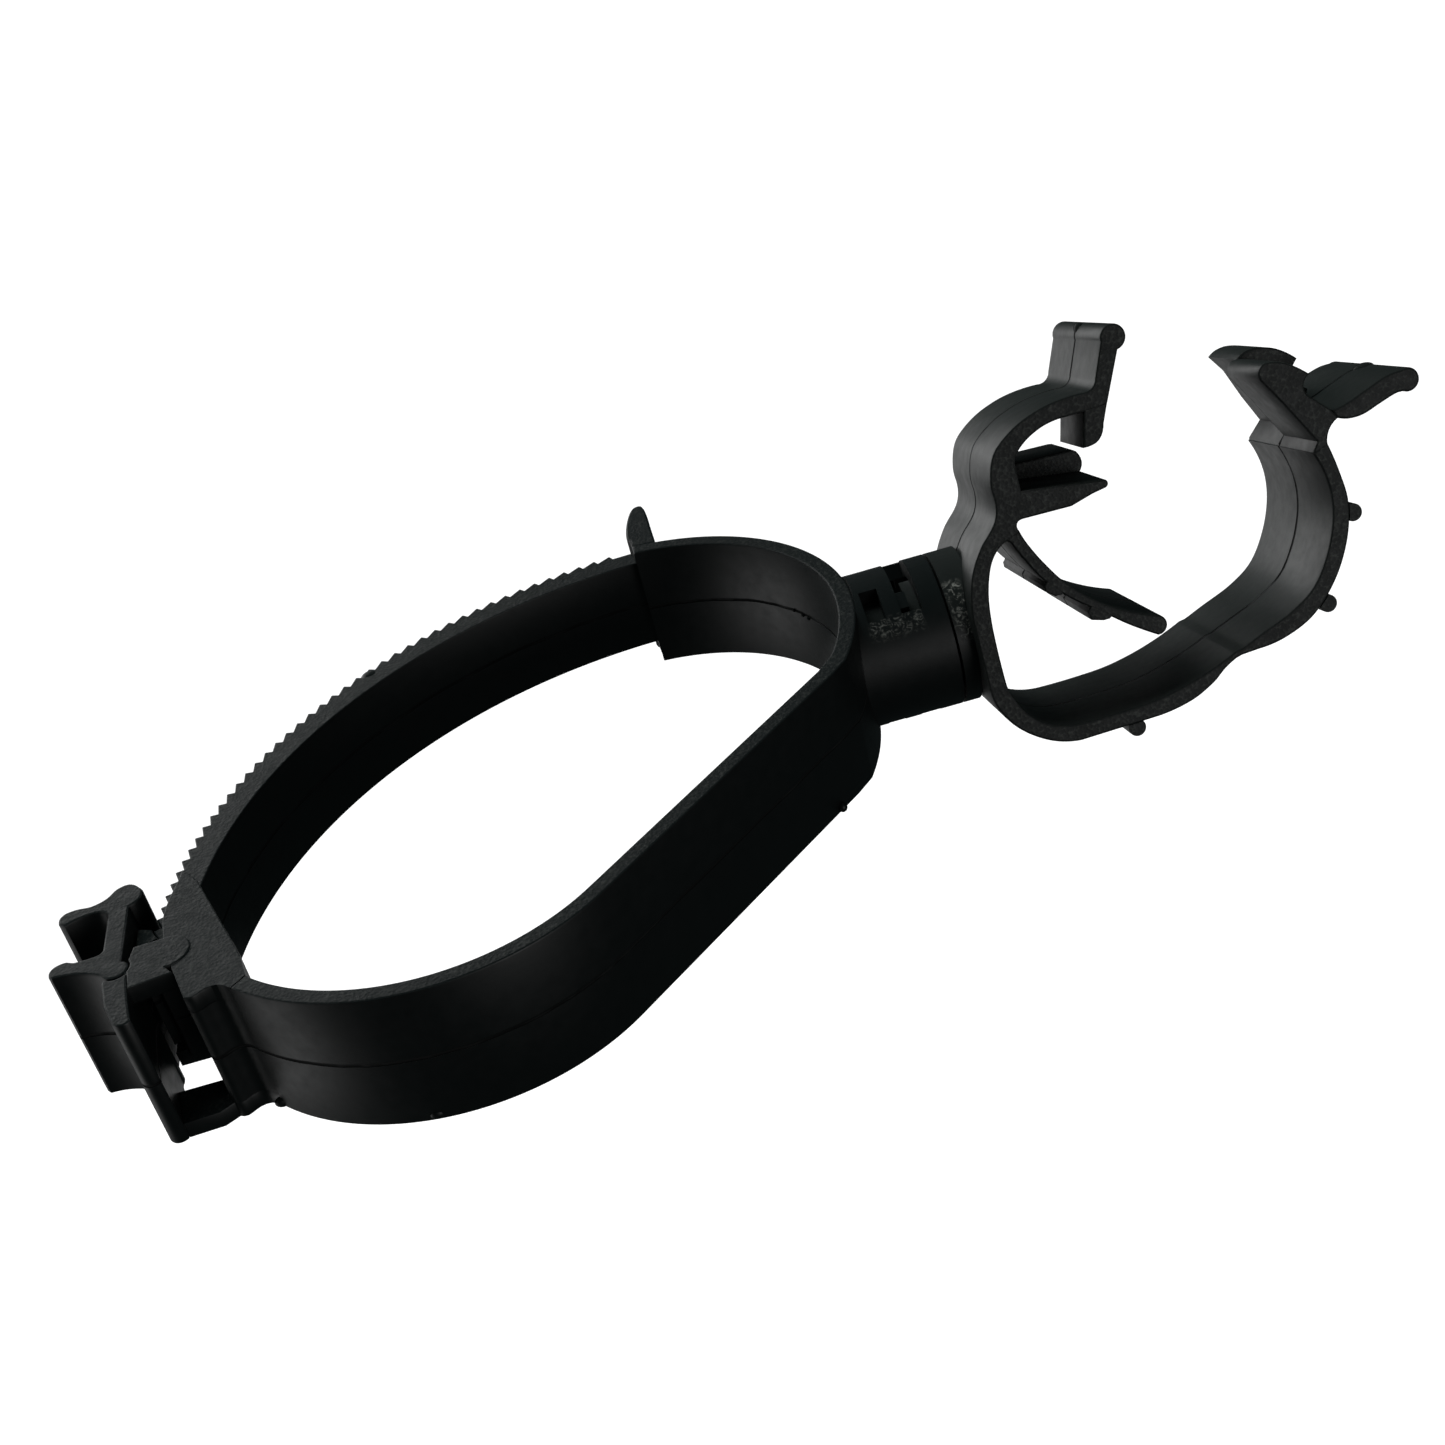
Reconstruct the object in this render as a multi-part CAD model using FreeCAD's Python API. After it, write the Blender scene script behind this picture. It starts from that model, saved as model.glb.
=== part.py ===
import FreeCAD, Part
import math
import os

# Twin hose clip with a snap-in swivel.  Millimetres.
# Everything is drawn from the centre of the socket rim.  X runs along the swivel axis towards the
# snap clip, Z is up (across the width of the strap loop), Y completes the right-handed frame.
# The strap loop is drawn in the XY plane; the snap clip is drawn in its own (x, y') plane and then
# turned about the swivel axis by SWIVEL_TURN.  Each finished piece is moved so that the part's
# origin is PIPE_AXIS, the axis of the largest pipe that the loop holds.

# ---------------------------------------------------------------- driving sizes
BAND_WIDTH = 16.0        # strap width
BAND_THICK = 2.0         # strap and clip wall
TOOTH_PITCH = 2.0        # ratchet pitch along the tooth tips
TOOTH_DEPTH = 0.9
TAIL_WIDTH = 11.6        # toothed tail, narrower than the strap
CLIP_WIDTH = 22.0        # width of the snap clip
SOCKET_DIAMETER = 17.8
SOCKET_LENGTH = 9.0      # depth of the socket bore
SWIVEL_TURN = 70.0       # rest angle of the clip about the swivel axis

# ---------------------------------------------------------------- named clearances and walls
RUN_CLEARANCE = 0.06     # radial, spigot in socket bore
RIM_GAP = 0.30           # socket rim to flange
SLIDE_GAP = 0.25         # tail to the walls of the latch head, each side
FLEX_GAP = 0.15          # parting between two flexing neighbours
SOCKET_WALL = 1.9
HINGE_THICK = 0.76       # living hinge of the closing jaw
SEAT_GAP = 0.05          # closing jaw to the round of the living hinge

HALF_BAND = BAND_WIDTH / 2
HALF_TAIL = TAIL_WIDTH / 2
HALF_CLIP = CLIP_WIDTH / 2
HALF_SLOT = HALF_TAIL + SLIDE_GAP
SOCKET_RADIUS = SOCKET_DIAMETER / 2
BORE_RADIUS = SOCKET_RADIUS - SOCKET_WALL
SPIGOT_RADIUS = BORE_RADIUS - RUN_CLEARANCE

# ---------------------------------------------------------------- strap loop geometry
# shoulder: the upper band and the saddle are two arcs that meet tangentially on the swivel axis
SHOULDER_X, SHOULDER_Y = -34.2, 1.0
SHOULDER_RADIUS = 22.9
SADDLE_RADIUS = 30.0
SADDLE_X = SHOULDER_X + SHOULDER_RADIUS - SADDLE_RADIUS
STEP_X = -31.8           # where the wide band changes to the narrow tail
# tail: teeth on a circle that passes through the latch head
TAIL_X, TAIL_Y = -31.5, -29.7
TIP_RADIUS = 58.9
ROOT_RADIUS = TIP_RADIUS - TOOTH_DEPTH
TAIL_THICK = 3.9         # over the tooth tips
TAIL_RADIUS = TIP_RADIUS - TAIL_THICK
TOOTH_ANGLE = math.degrees(TOOTH_PITCH / TIP_RADIUS)
FIRST_TOOTH = 93.3       # polar angle of the first tooth tip about the tail centre
TAIL_END = 182.9         # polar angle that the last tooth stays short of
TOOTH_COUNT = int((TAIL_END - FIRST_TOOTH) / TOOTH_ANGLE)
# cradle: the lower band
CRADLE_X, CRADLE_Y = -61.2, -23.5
CRADLE_RADIUS = 24.0
CRADLE_END = 222.0       # polar angle where the band meets the latch head
FOOT = (-16.3, -14.5)    # inner corner between saddle and lower band
PIPE_AXIS = (-50.0, -9.5)

out_dir = "parts"
os.makedirs(out_dir, exist_ok=True)


# ---------------------------------------------------------------- drawing helpers
def vec(p, z=0.0):
    return FreeCAD.Vector(p[0], p[1], z)


def on_circle(x, y, radius, angle):
    a = math.radians(angle)
    return (x + radius * math.cos(a), y + radius * math.sin(a))


def outline(start, *runs):
    """Closed face from runs that follow each other: one point is a straight line, two points are an
    arc through the first, three or more are a smooth curve through all of them."""
    edges = []
    here = vec(start)
    for run in runs:
        pts = [here] + [vec(p) for p in run]
        if len(pts) == 2:
            edges.append(Part.LineSegment(pts[0], pts[1]).toShape())
        elif len(pts) == 3:
            edges.append(Part.Arc(pts[0], pts[1], pts[2]).toShape())
        else:
            curve = Part.BSplineCurve()
            curve.interpolate(pts)
            edges.append(curve.toShape())
        here = pts[-1]
    if here.distanceToPoint(vec(start)) > 1e-6:
        edges.append(Part.LineSegment(here, vec(start)).toShape())
    return Part.Face(Part.Wire(edges))


def slab(face, z0, z1):
    """Solid made by pulling a flat outline from z0 to z1."""
    solid = face.extrude(FreeCAD.Vector(0, 0, z1 - z0))
    solid.translate(FreeCAD.Vector(0, 0, z0))
    return solid


def rod(x, y, radius, z0, z1):
    return Part.makeCylinder(radius, z1 - z0, FreeCAD.Vector(x, y, z0))


def ring(inner, outer, x0, x1):
    """Tube about the swivel axis."""
    axis = FreeCAD.Vector(1, 0, 0)
    start = FreeCAD.Vector(x0, 0, 0)
    tube = Part.makeCylinder(outer, x1 - x0, start, axis)
    if inner > 0:
        tube = tube.cut(Part.makeCylinder(inner, x1 - x0, start, axis))
    return tube


def sector(radius, x0, x1, a0, a1):
    """Pie slice about the swivel axis between two angles; 0 is +Y and 90 is +Z."""
    pie = Part.makeCylinder(radius, x1 - x0, FreeCAD.Vector(0, 0, 0), FreeCAD.Vector(0, 0, 1), a1 - a0)
    pie.rotate(FreeCAD.Vector(0, 0, 0), FreeCAD.Vector(0, 0, 1), a0 + 90)
    pie.rotate(FreeCAD.Vector(0, 0, 0), FreeCAD.Vector(0, 1, 0), 90)
    pie.translate(FreeCAD.Vector(x0, 0, 0))
    return pie


def turned(shape):
    """Put a shape of the snap clip into the part frame."""
    shape.rotate(FreeCAD.Vector(0, 0, 0), FreeCAD.Vector(1, 0, 0), SWIVEL_TURN)
    return shape


def save(name, shape):
    if len(shape.Solids) == 1:
        shape = shape.Solids[0]
    shape = shape.copy()
    shape.translate(FreeCAD.Vector(-PIPE_AXIS[0], -PIPE_AXIS[1], 0))
    shape.exportStep(out_dir + "/" + name + ".step")


# ================================================================ strap moulding: the fixed half
def shoulder_point(radius, angle):
    return on_circle(SHOULDER_X, SHOULDER_Y, radius, angle)


def saddle_point(radius, angle):
    return on_circle(SADDLE_X, SHOULDER_Y, radius, angle)


shoulder_outer = SHOULDER_RADIUS + BAND_THICK
saddle_outer = SADDLE_RADIUS + BAND_THICK
SPLIT_ANGLE = 28.0       # upper band to saddle
step_in = math.degrees(math.acos((STEP_X - SHOULDER_X) / SHOULDER_RADIUS))
step_out = math.degrees(math.acos((STEP_X - SHOULDER_X) / shoulder_outer))

upper_band = slab(outline(
    shoulder_point(SHOULDER_RADIUS, SPLIT_ANGLE),
    [shoulder_point(SHOULDER_RADIUS, 60), shoulder_point(SHOULDER_RADIUS, step_in)],
    [shoulder_point(shoulder_outer, step_out)],
    [shoulder_point(shoulder_outer, 60), shoulder_point(shoulder_outer, SPLIT_ANGLE)],
), -HALF_BAND, HALF_BAND)
save("upper_band", upper_band)

# direction of the straight run: tangent from the foot to the cradle circle
dx = CRADLE_X - FOOT[0]
dy = CRADLE_Y - FOOT[1]
reach = math.hypot(dx, dy)
run_angle = math.degrees(math.atan2(dy, dx) + math.asin(CRADLE_RADIUS / reach))
run_length = math.sqrt(reach ** 2 - CRADLE_RADIUS ** 2)
run_dir = (math.cos(math.radians(run_angle)), math.sin(math.radians(run_angle)))
run_out = (-run_dir[1], run_dir[0])      # away from the inside of the loop


def along_run(distance, outward):
    return (FOOT[0] + run_dir[0] * distance + run_out[0] * outward,
            FOOT[1] + run_dir[1] * distance + run_out[1] * outward)


FOOT_LENGTH = 2.0        # stub of straight band left on the saddle
saddle = slab(outline(
    shoulder_point(SHOULDER_RADIUS, SPLIT_ANGLE),
    [shoulder_point(SHOULDER_RADIUS, SPLIT_ANGLE / 2), shoulder_point(SHOULDER_RADIUS, 0)],
    [saddle_point(SADDLE_RADIUS, -13), saddle_point(SADDLE_RADIUS, -26)],
    [along_run(0, 0)],
    [along_run(FOOT_LENGTH, 0)],
    [along_run(FOOT_LENGTH, BAND_THICK)],
    [saddle_point(saddle_outer, -27.5)],
    [saddle_point(saddle_outer, -13), saddle_point(saddle_outer, 0)],
    [shoulder_point(shoulder_outer, SPLIT_ANGLE / 2), shoulder_point(shoulder_outer, SPLIT_ANGLE)],
), -HALF_BAND, HALF_BAND)
save("strap_saddle", saddle)

# socket: a round cup on the back of the saddle, open towards the clip, with windows above and below
cup = ring(BORE_RADIUS, SOCKET_RADIUS, -SOCKET_LENGTH, 0)
FLOOR_END = -13.0
floor = ring(0, SOCKET_RADIUS, FLOOR_END, -SOCKET_LENGTH)
inside_loop = slab(outline(
    shoulder_point(shoulder_outer, SPLIT_ANGLE),
    [shoulder_point(shoulder_outer, SPLIT_ANGLE / 2), shoulder_point(shoulder_outer, 0)],
    [saddle_point(saddle_outer, -13), saddle_point(saddle_outer, -27.5)],
    [(-40, -14)],
    [(-40, 12)],
), -15, 15)
socket = cup.fuse(floor).cut(inside_loop).removeSplitter()
BAR_X0, BAR_X1 = -6.7, -4.9      # bridge between the two windows
for flip in (0, 180):
    for x0, x1, a0, a1 in ((-8.8, BAR_X0, 103, 130), (-8.8, BAR_X0, 50, 63), (BAR_X1, -2.5, 50, 130)):
        socket = socket.cut(sector(SOCKET_RADIUS + 1, x0, x1, a0 + flip, a1 + flip))
save("swivel_socket", socket)

# snap lugs: on the bridges, reaching into the groove of the spigot
GROOVE_X0, GROOVE_X1 = -5.1, -3.7
GROOVE_DEPTH = 1.0
LUG_CLEARANCE = 0.10
lugs = []
for flip in (0, 180):
    lug = ring(BORE_RADIUS - GROOVE_DEPTH + LUG_CLEARANCE, SOCKET_RADIUS - 0.4,
               BAR_X1, GROOVE_X1 - LUG_CLEARANCE)
    lugs.append(lug.common(sector(SOCKET_RADIUS + 1, BAR_X1, GROOVE_X1, 111 + flip, 125 + flip)))
save("snap_lugs", Part.makeCompound(lugs))

# closing tab: a full-width thumb lug that stands on the end of the band, beside the step
TAB_HEIGHT = 10.5
TAB_THICK = 2.6
tab_top = SHOULDER_Y + shoulder_outer + TAB_HEIGHT
tab_right = STEP_X + TAB_THICK
foot_right = math.degrees(math.acos((tab_right - SHOULDER_X) / shoulder_outer))
tail_start_out = math.degrees(math.acos((STEP_X - TAIL_X) / ROOT_RADIUS))
tail_shelf = TAIL_Y + ROOT_RADIUS * math.sin(math.radians(tail_start_out))
closing_tab = slab(outline(
    shoulder_point(shoulder_outer, step_out),
    [shoulder_point(shoulder_outer, (step_out + foot_right) / 2),
     shoulder_point(shoulder_outer, foot_right)],
    [(tab_right, tab_top - 4.0)],
    [(tab_right - 0.2, tab_top - 1.6), (tab_right - 1.1, tab_top), (STEP_X + 0.5, tab_top - 0.8),
     (STEP_X - 0.4, tab_top - 3.2), (STEP_X - 0.4, tail_shelf + 1.4), (STEP_X, tail_shelf + 0.4)],
), -HALF_BAND, HALF_BAND)
save("closing_tab", closing_tab)


# toothed tail: saw teeth with the steep side towards the step and a ramp towards the free end
STEEP = 0.33             # angle used by the steep flank


def tail_point(radius, angle):
    return on_circle(TAIL_X, TAIL_Y, radius, angle)


tail_start_in = math.degrees(math.acos((STEP_X - TAIL_X) / TAIL_RADIUS))
tail_runs = [[tail_point(ROOT_RADIUS, FIRST_TOOTH - STEEP)]]
for tooth in range(TOOTH_COUNT):
    angle = FIRST_TOOTH + tooth * TOOTH_ANGLE
    ramp_end = angle + TOOTH_ANGLE - STEEP
    if tooth == TOOTH_COUNT - 1:
        ramp_end = angle + TOOTH_ANGLE
    tail_runs.append([tail_point(TIP_RADIUS, angle)])
    tail_runs.append([tail_point(ROOT_RADIUS, ramp_end)])
tail_end = FIRST_TOOTH + TOOTH_COUNT * TOOTH_ANGLE
tail_runs.append([tail_point(TAIL_RADIUS, tail_end - 0.6)])
tail_runs.append([tail_point(TAIL_RADIUS, 136), tail_point(TAIL_RADIUS, tail_start_in)])
toothed_tail = slab(outline(tail_point(ROOT_RADIUS, tail_start_out), *tail_runs), -HALF_TAIL, HALF_TAIL)
save("toothed_tail", toothed_tail)

# ================================================================ strap moulding: the latch half
run_start = FOOT_LENGTH + FLEX_GAP
cradle_start = (run_angle + 90) % 360


def cradle_point(radius, angle):
    return on_circle(CRADLE_X, CRADLE_Y, radius, angle)


cradle_outer = CRADLE_RADIUS + BAND_THICK
cradle_mid = (cradle_start + CRADLE_END) / 2
lower_band = slab(outline(
    along_run(run_start, 0),
    [along_run(run_length, 0)],
    [cradle_point(CRADLE_RADIUS, cradle_mid), cradle_point(CRADLE_RADIUS, CRADLE_END)],
    [cradle_point(cradle_outer, CRADLE_END)],
    [cradle_point(cradle_outer, cradle_mid), along_run(run_length, BAND_THICK)],
    [along_run(run_start, BAND_THICK)],
), -HALF_BAND, HALF_BAND)
save("lower_band", lower_band)

# latch head: two cheeks with staggered bridges over the slot that the tail slides through
SLOT_FLOOR = TAIL_RADIUS - SLIDE_GAP     # radius of the guide under the tail
SLOT_ROOF = TIP_RADIUS + 1.1             # radius of the outer wall over the teeth
band_in = cradle_point(CRADLE_RADIUS, CRADLE_END)
band_out = cradle_point(cradle_outer, CRADLE_END)
INNER_CORNER = (-79.75, -35.8)
HEAD_TOP = (-86.7, -18.0)


def slot_at(radius, y):
    """Point of the slot at a given height, on a circle about the tail centre."""
    return (TAIL_X - math.sqrt(radius ** 2 - (y - TAIL_Y) ** 2), y)


anvil = slab(outline(
    slot_at(SLOT_FLOOR, -23.0),
    [(-84.1, -23.0)],
    [INNER_CORNER],
    [band_in],
    [band_out],
    [(-81.9, -39.8), (-83.0, -39.9), (-84.3, -40.7), slot_at(SLOT_FLOOR, -40.4)],
    [slot_at(SLOT_FLOOR, -31.5), slot_at(SLOT_FLOOR, -23.0)],
), -HALF_SLOT, HALF_SLOT)
save("head_anvil", anvil)

# lever pivot, on the inner corner of the cross
PIVOT = (-92.7, -32.6)
HUB_RADIUS = 1.4
HUB_SEAT = HUB_RADIUS + FLEX_GAP
seat = rod(PIVOT[0], PIVOT[1], HUB_SEAT, -HALF_BAND - 1, HALF_BAND + 1)

gusset = outline(
    HEAD_TOP,
    [(-84.9, -20.7)],
    [INNER_CORNER],
    [band_in],
    [band_out],
    [(-81.9, -39.8), (-83.0, -39.9), (-84.3, -40.7), (-85.2, -40.4)],
    [(-86.5, -35.9)],
    [(-88.0, -29.3)],
    [(-88.3, -26.5)],
    [(-87.9, -23.2), (-87.0, -19.7), HEAD_TOP],
)
near_bridge = slab(outline(
    (-90.9, -29.8),
    [(-87.4, -29.6)],
    [(-84.9, -32.15), (-87.3, -34.7)],
    [(-86.5, -35.9)],
    [slot_at(SLOT_ROOF, -36.5)],
    [slot_at(SLOT_ROOF, -34.6)],
    [(-90.9, -34.0)],
), HALF_SLOT, HALF_BAND).cut(seat)
save("near_bridge", near_bridge)

near_cheek = slab(gusset, HALF_SLOT, HALF_BAND).cut(near_bridge)
save("near_cheek", near_cheek)

# outer wall of the slot, under the lever
BEAM_TOP = -34.2
pawl_beam = slab(outline(
    slot_at(SLOT_ROOF, BEAM_TOP + 1.2),
    [slot_at(SLOT_ROOF, -38), slot_at(SLOT_ROOF, -41.6)],
    [(-91.2, -42.0), (-92.3, -41.2)],
    [(-93.4, -38.0)],
    [(-94.0, BEAM_TOP)],
    [(-93.5, BEAM_TOP + 1.2)],
), -HALF_BAND, HALF_BAND).cut(seat)
save("outer_wall", pawl_beam)

FAR_SILL = -36.3         # lower edge of the window in the far cheek
far_lower = outline(
    (-86.9, FAR_SILL),
    [slot_at(SLOT_ROOF, FAR_SILL)],
    [slot_at(SLOT_ROOF, -39), slot_at(SLOT_ROOF, -41.6)],
    [(-86.6, -41.4)],
    [(-84.6, -40.2)],
    [(-84.6, FAR_SILL)],
)
far_upper = outline(
    (-91.85, -22.6),
    [(-91.85, -29.9)],
    [(-86.5, -29.9)],
    [(-86.5, -20.6)],
)
far_cheek = slab(gusset, -HALF_BAND, -HALF_SLOT)
far_cheek = far_cheek.fuse(slab(far_lower, -HALF_BAND, -HALF_SLOT))
far_cheek = far_cheek.fuse(slab(far_upper, -HALF_BAND, -HALF_SLOT)).cut(seat).removeSplitter()
save("far_cheek", far_cheek)

# ================================================================ release lever
lever_web = slab(outline(
    (-94.35, -22.4),
    [(-92.15, -22.0)],
    [(-92.1, -31.6)],
    [PIVOT],
    [(-94.0, -32.5)],
    [(-94.35, -31.2)],
), -HALF_BAND, HALF_BAND)
lever_hub = rod(PIVOT[0], PIVOT[1], HUB_RADIUS, -HALF_BAND, HALF_BAND)
lever_web = lever_web.fuse(lever_hub).removeSplitter()
save("lever_web", lever_web)

lever_arm = slab(outline(
    (-94.35, -29.2),
    [(-97.3, -29.3)],
    [(-98.1, -28.9), (-99.1, -29.0), (-99.85, -30.0), (-99.4, -31.1)],
    [(-97.6, -31.3), (-95.7, -32.0), (-94.2, -33.0)],
    [(-93.3, -32.6)],
    [(-93.3, -29.2)],
), -HALF_BAND, HALF_BAND).cut(lever_web)
save("lever_arm", lever_arm)

thumb_plate = slab(outline(
    (-94.35, -22.4),
    [(-95.5, -21.6), (-97.2, -21.7), (-99.0, -22.4)],
    [(-99.8, -21.5), (-99.2, -20.0)],
    [(-98.0, -19.8), (-96.4, -20.0), (-94.9, -19.4), (-93.8, -18.1), (-92.5, -17.8), (-91.3, -18.9)],
    [(-90.7, -21.0)],
    [(-92.15, -22.0)],
), -HALF_BAND, HALF_BAND)
save("thumb_plate", thumb_plate)

# pawl: two teeth that fill the gaps between tail teeth
PAWL_ANGLE = 175.0       # polar angle of the top of the pawl about the tail centre
PAWL_TEETH = 2
PAWL_FIRST = round((PAWL_ANGLE - FIRST_TOOTH) / TOOTH_ANGLE)
PAWL_CLEARANCE = 0.16
pawl_tip = ROOT_RADIUS + PAWL_CLEARANCE
pawl_root = TIP_RADIUS + PAWL_CLEARANCE
pawl_gap = math.degrees(PAWL_CLEARANCE / TIP_RADIUS)
pawl_start = tail_point(pawl_root, FIRST_TOOTH + PAWL_FIRST * TOOTH_ANGLE - STEEP)
pawl_runs = []
for tooth in range(PAWL_FIRST, PAWL_FIRST + PAWL_TEETH):
    angle = FIRST_TOOTH + tooth * TOOTH_ANGLE
    pawl_runs.append([tail_point(pawl_root, angle)])
    pawl_runs.append([tail_point(pawl_tip, angle + TOOTH_ANGLE - STEEP - pawl_gap)])
    pawl_runs.append([tail_point(pawl_root, angle + TOOTH_ANGLE - pawl_gap)])
pawl_end = pawl_runs[-1][0]
pawl_runs.append([(-92.0, pawl_end[1] - 0.5)])
pawl_runs.append([(-92.0, pawl_start[1] + 0.8)])
pawl = slab(outline(pawl_start, *pawl_runs), -HALF_TAIL, HALF_TAIL).cut(lever_web)
save("pawl", pawl)

# ================================================================ snap clip: the turning body
BACK_X = 2.1             # outer face of the clip back on the axis
clip_back = slab(outline(
    (BACK_X, -6.0),
    [(BACK_X, 2.0)],
    [(BACK_X + 0.9, 6.5), (4.7, 9.5), (7.0, 12.1), (7.55, 14.6)],
    [(10.7, 14.6)],
    [(10.2, 11.5)],
    [(9.6, 11.35), (9.35, 10.9), (9.5, 10.3)],
    [(8.1, 9.3)],
    [(7.2, 9.3), (5.9, 8.0), (5.0, 6.0), (4.4, 3.5), (4.1, 0.0)],
    [(BACK_X + BAND_THICK, -6.0)],
), -HALF_CLIP, HALF_CLIP)

FLANGE_END = 3.6
flange = ring(0, SOCKET_RADIUS, RIM_GAP, FLANGE_END)
flange.rotate(FreeCAD.Vector(0, 0, 0), FreeCAD.Vector(1, 0, 0), -SWIVEL_TURN)
behind_back = slab(outline(
    (BACK_X, -12.0),
    [(BACK_X, 2.0)],
    [(BACK_X + 0.9, 6.5), (4.7, 9.5), (7.0, 12.1), (7.55, 14.6)],
    [(20, 14.6)],
    [(20, -12)],
), -20, 20)
flange = flange.cut(behind_back)
save("clip_back", turned(clip_back))
save("swivel_flange", turned(flange))

# spigot: a slotted stud with a groove for the snap lugs
SPIGOT_END = -SOCKET_LENGTH + 0.4
SLOT_WIDTH = 3.0
spigot = ring(0, SPIGOT_RADIUS, SPIGOT_END, RIM_GAP)
spigot = spigot.cut(ring(SPIGOT_RADIUS - GROOVE_DEPTH, SPIGOT_RADIUS + 1, GROOVE_X0, GROOVE_X1))
split = Part.makeBox(-SPIGOT_END - 1.5, 2 * SPIGOT_RADIUS + 2, SLOT_WIDTH,
                     FreeCAD.Vector(SPIGOT_END, -SPIGOT_RADIUS - 1, -SLOT_WIDTH / 2))
save("swivel_spigot", turned(spigot.cut(split)))

catch_arm = slab(outline(
    (7.55, 14.6),
    [(7.6, 16.6), (8.5, 19.1), (10.2, 20.7), (12.6, 22.0), (15.8, 22.9), (19.6, 23.1)],
    [(20.7, 23.3), (21.3, 24.2)],
    [(22.8, 27.9)],
    [(24.6, 27.1)],
    [(22.1, 21.3)],
    [(21.2, 21.0)],
    [(17.2, 21.0)],
    [(15.1, 20.8), (13.2, 20.1), (11.7, 19.1), (10.9, 18.1), (10.7, 16.8)],
    [(10.7, 14.6)],
), -HALF_CLIP, HALF_CLIP)
BEAD_RADIUS = 1.4
catch_bead = rod(24.2, 28.0, BEAD_RADIUS, -HALF_CLIP, HALF_CLIP).cut(catch_arm)
catch_hook = slab(outline(
    (19.3, 21.0),
    [(21.2, 21.0)],
    [(22.1, 21.3)],
    [(21.2, 19.2)],
    [(20.7, 18.0), (19.9, 17.35), (18.4, 17.2)],
    [(18.7, 18.4)],
), 0, HALF_CLIP)
save("catch_arm", turned(catch_arm))
save("catch_bead", turned(catch_bead))
save("catch_hook", turned(catch_hook))

catch_tongue = slab(outline(
    (10.2, 11.5),
    [(15.7, 11.4)],
    [(18.3, 12.1)],
    [(19.8, 12.35)],
    [(20.2, 12.85), (19.8, 13.3)],
    [(17.2, 13.7)],
    [(10.7, 14.6)],
), -HALF_CLIP, HALF_CLIP)
tongue_block = slab(outline(
    (10.7, 14.6),
    [(17.2, 13.7)],
    [(19.8, 13.3)],
    [(20.4, 14.3), (20.0, 15.6), (19.2, 15.9)],
    [(10.7, 16.2)],
), -HALF_CLIP, 0)
save("catch_tongue", turned(catch_tongue))
save("tongue_block", turned(tongue_block))

HINGE = (30.6, -9.65)
hinge_half = HINGE_THICK / 2
NECK_TOP = (29.9, -9.38)
NECK_FOOT = (29.9, -10.2)
lower_jaw = slab(outline(
    (BACK_X + BAND_THICK, -6.0),
    [(4.5, -7.6), (5.6, -9.8), (7.6, -11.6), (11.0, -12.5)],
    [(16.0, -12.5), (20.4, -12.2), (25.3, -11.1), NECK_TOP],
    [NECK_FOOT],
    [(28.4, -11.0), (26.8, -12.2), (24.0, -13.5), (20.0, -14.2)],
    [(10.8, -14.45)],
    [(7.6, -13.6), (4.6, -11.5), (2.7, -8.8), (BACK_X, -6.0)],
), -HALF_CLIP, HALF_CLIP)
living_hinge = slab(outline(
    NECK_TOP,
    [(HINGE[0], HINGE[1] + hinge_half)],
    [(HINGE[0] + hinge_half, HINGE[1]), (HINGE[0], HINGE[1] - hinge_half)],
    [NECK_FOOT],
), -HALF_CLIP, HALF_CLIP)
KNOB_RADIUS = 1.0
jaw_rest = rod(17.2, -14.75, KNOB_RADIUS, -HALF_CLIP, HALF_CLIP).cut(lower_jaw)
save("lower_jaw", turned(lower_jaw))
save("living_hinge", turned(living_hinge))
save("jaw_rib", turned(jaw_rest))

# ================================================================ spring finger
FINGER_THICK = 1.5
spring_finger = slab(outline(
    (9.58, 10.15),
    [(10.0, 8.8), (11.3, 6.2), (13.2, 3.3), (16.0, 0.5), (19.0, -1.5), (22.3, -3.0)],
    [(23.1, -4.3), (21.9, -5.2)],
    [(19.0, -3.2), (16.6, -1.2), (13.2, 1.6), (10.8, 4.3), (9.2, 7.2), (8.25, 9.1)],
), -HALF_CLIP, HALF_CLIP)
ribs = []
for rib in ([(11.4, 4.6), (10.7, 3.6), (10.7, 3.0), (11.7, 2.2), (12.4, 2.2), (13.1, 2.6)],
            [(15.4, 0.4), (14.7, -0.5), (15.0, -1.5), (16.3, -1.9), (17.0, -1.9), (17.6, -1.3)]):
    bar = slab(outline(rib[0], *[[point] for point in rib[1:]]), -HALF_CLIP, HALF_CLIP)
    ribs.append(bar.cut(spring_finger))
save("spring_finger", turned(spring_finger))
save("finger_ribs", turned(Part.makeCompound(ribs)))

# ================================================================ closing jaw
hinge_seat = rod(HINGE[0], HINGE[1], hinge_half + SEAT_GAP, -HALF_CLIP - 1, HALF_CLIP + 1)
closing_jaw = slab(outline(
    (HINGE[0], HINGE[1] + hinge_half),
    [(33.0, -8.3), (37.0, -6.7), (40.0, -4.7), (42.3, -1.3), (43.7, 2.6), (43.9, 6.2), (42.9, 9.8)],
    [(44.8, 10.4)],
    [(45.5, 7.0), (45.8, 3.6), (44.9, -0.4), (42.7, -4.5), (39.5, -7.8), (36.0, -9.4), (32.6, -9.9)],
    [(HINGE[0], HINGE[1] - hinge_half)],
), -HALF_CLIP, HALF_CLIP).cut(hinge_seat)
# keep only the side of the seat that carries the jaw
behind_hinge = Part.makeBox(5, 6, CLIP_WIDTH + 2, FreeCAD.Vector(HINGE[0] - 5, HINGE[1] - 3, -HALF_CLIP - 1))
closing_jaw = closing_jaw.cut(behind_hinge)

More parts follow.
